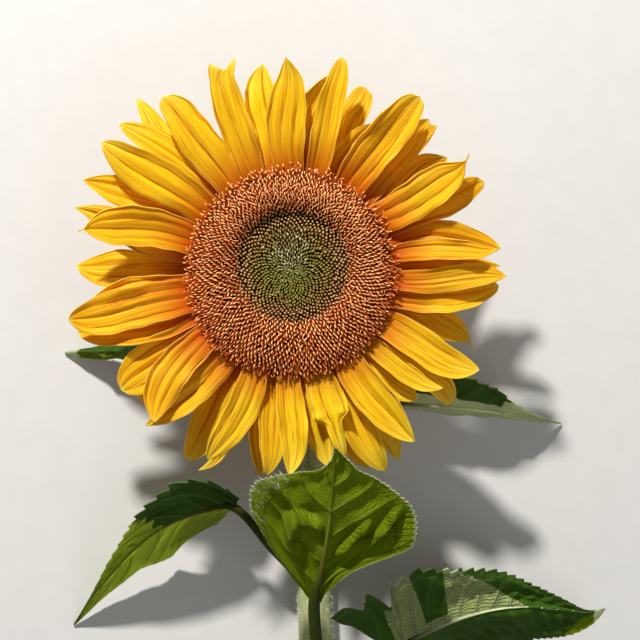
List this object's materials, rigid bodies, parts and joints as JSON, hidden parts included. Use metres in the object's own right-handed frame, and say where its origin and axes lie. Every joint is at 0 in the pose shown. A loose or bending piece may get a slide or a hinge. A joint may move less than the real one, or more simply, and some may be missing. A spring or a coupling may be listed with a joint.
{
  "type": "cut sunflower bloom with stem and leaves",
  "caption": "Open sunflower bloom on a cut length of stem with broad toothed leaves, lying on its back with the bloom facing up.",
  "frame": {"origin": "bottom centre of the bounding box, on the level surface that the stem lies on", "axes": "+Z up, the way the bloom faces; the stem runs from the bloom towards -Y, to its flat cut; +X to the viewer's right when looking down with +Y up"},
  "size_m": [0.3444, 0.4182, 0.1229],
  "materials": {
    "stem": "pale green, rough with short bristles",
    "calyx": "matt green, softly hairy",
    "open_florets": "matt orange-brown, densely grained",
    "bud_florets": "matt olive green, densely grained",
    "petal": "satin golden yellow, ribbed along its length",
    "leaf": "matt green with raised veins, lets light through"
  },
  "bodies": {
    "root": {"stem": "stem", "calyx": "calyx", "open_floret_ring": "open_florets", "bud_floret_centre": "bud_florets", "petal_front_01": "petal", "petal_front_02": "petal", "petal_front_03": "petal", "petal_front_04": "petal", "petal_front_05": "petal", "petal_front_06": "petal", "petal_front_07": "petal", "petal_front_08": "petal", "petal_front_09": "petal", "petal_front_10": "petal", "petal_front_11": "petal", "petal_front_12": "petal", "petal_front_13": "petal", "petal_front_14": "petal", "petal_front_15": "petal", "petal_front_16": "petal", "petal_front_17": "petal", "petal_front_18": "petal", "petal_middle_01": "petal", "petal_middle_02": "petal", "petal_middle_03": "petal", "petal_middle_04": "petal", "petal_middle_05": "petal", "petal_middle_06": "petal", "petal_middle_07": "petal", "petal_middle_08": "petal", "petal_middle_09": "petal", "petal_middle_10": "petal", "petal_middle_11": "petal", "petal_middle_12": "petal", "petal_middle_13": "petal", "petal_middle_14": "petal", "petal_middle_15": "petal", "petal_middle_16": "petal", "petal_middle_17": "petal", "petal_middle_18": "petal", "petal_middle_19": "petal", "petal_middle_20": "petal", "petal_middle_21": "petal", "petal_back_01": "petal", "petal_back_02": "petal", "petal_back_03": "petal", "petal_back_04": "petal", "petal_back_05": "petal", "petal_back_06": "petal", "petal_back_07": "petal", "petal_back_08": "petal", "petal_back_09": "petal", "petal_back_10": "petal", "petal_back_11": "petal", "leaf_front": "leaf", "leaf_left": "leaf", "leaf_right": "leaf", "leaf_back_right": "leaf", "leaf_back_left": "leaf"}
  },
  "joints": []
}
